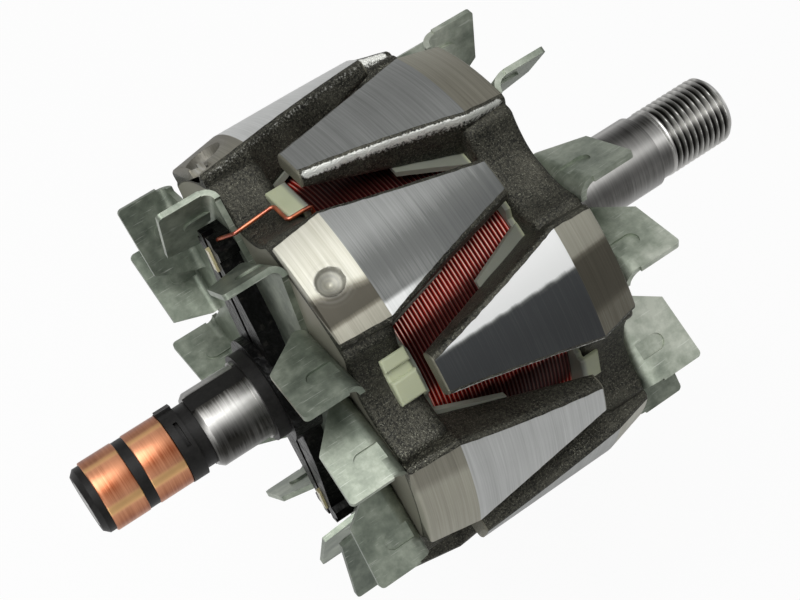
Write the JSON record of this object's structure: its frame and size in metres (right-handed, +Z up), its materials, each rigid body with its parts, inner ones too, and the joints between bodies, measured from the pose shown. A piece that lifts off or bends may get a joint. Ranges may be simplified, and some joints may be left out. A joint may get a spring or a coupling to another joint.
{
  "type": "alternator rotor",
  "caption": "Claw-pole alternator rotor: field winding on a former between interlocking claw poles, sheet fans at both faces, copper slip rings and a threaded pulley end on one shaft.",
  "frame": {"origin": "on the shaft axis at the middle of the overall length", "axes": "+X along the shaft towards the pulley thread, +Z up, +Y by the right-hand rule"},
  "size_m": [0.1608, 0.0986, 0.0987],
  "materials": {
    "ground_steel": "ground bearing seats, turned thread",
    "plain_steel": "plain machined steel",
    "forged_steel": "turned outer faces, rough dark forged flanks",
    "cream_nylon": "satin moulded",
    "red_enamel_wire": "glossy enamel over copper",
    "copper_lead": "glossy clear enamel over copper",
    "zinc_sheet": "zinc plated, greenish passivation",
    "ring_copper": "satin turned copper",
    "black_moulding": "satin",
    "conductor_copper": "plain drawn",
    "black_guide": "glossy, varnished",
    "pale_resin": "glossy drop"
  },
  "bodies": {
    "root": {"shaft": "ground_steel", "pole_core": "plain_steel", "slip_side_pole": "forged_steel", "pulley_side_pole": "forged_steel", "bobbin": "cream_nylon", "field_winding": "red_enamel_wire", "coil_lead_start": "copper_lead", "coil_lead_finish": "copper_lead", "slip_side_fan": "zinc_sheet", "pulley_side_fan": "zinc_sheet", "outer_slip_ring": "ring_copper", "inner_slip_ring": "ring_copper", "slip_ring_carrier": "black_moulding", "ring_conductor_outer": "conductor_copper", "ring_conductor_inner": "conductor_copper", "wire_guide": "black_guide", "lead_resin_upper": "pale_resin", "lead_resin_lower": "pale_resin"}
  },
  "joints": []
}
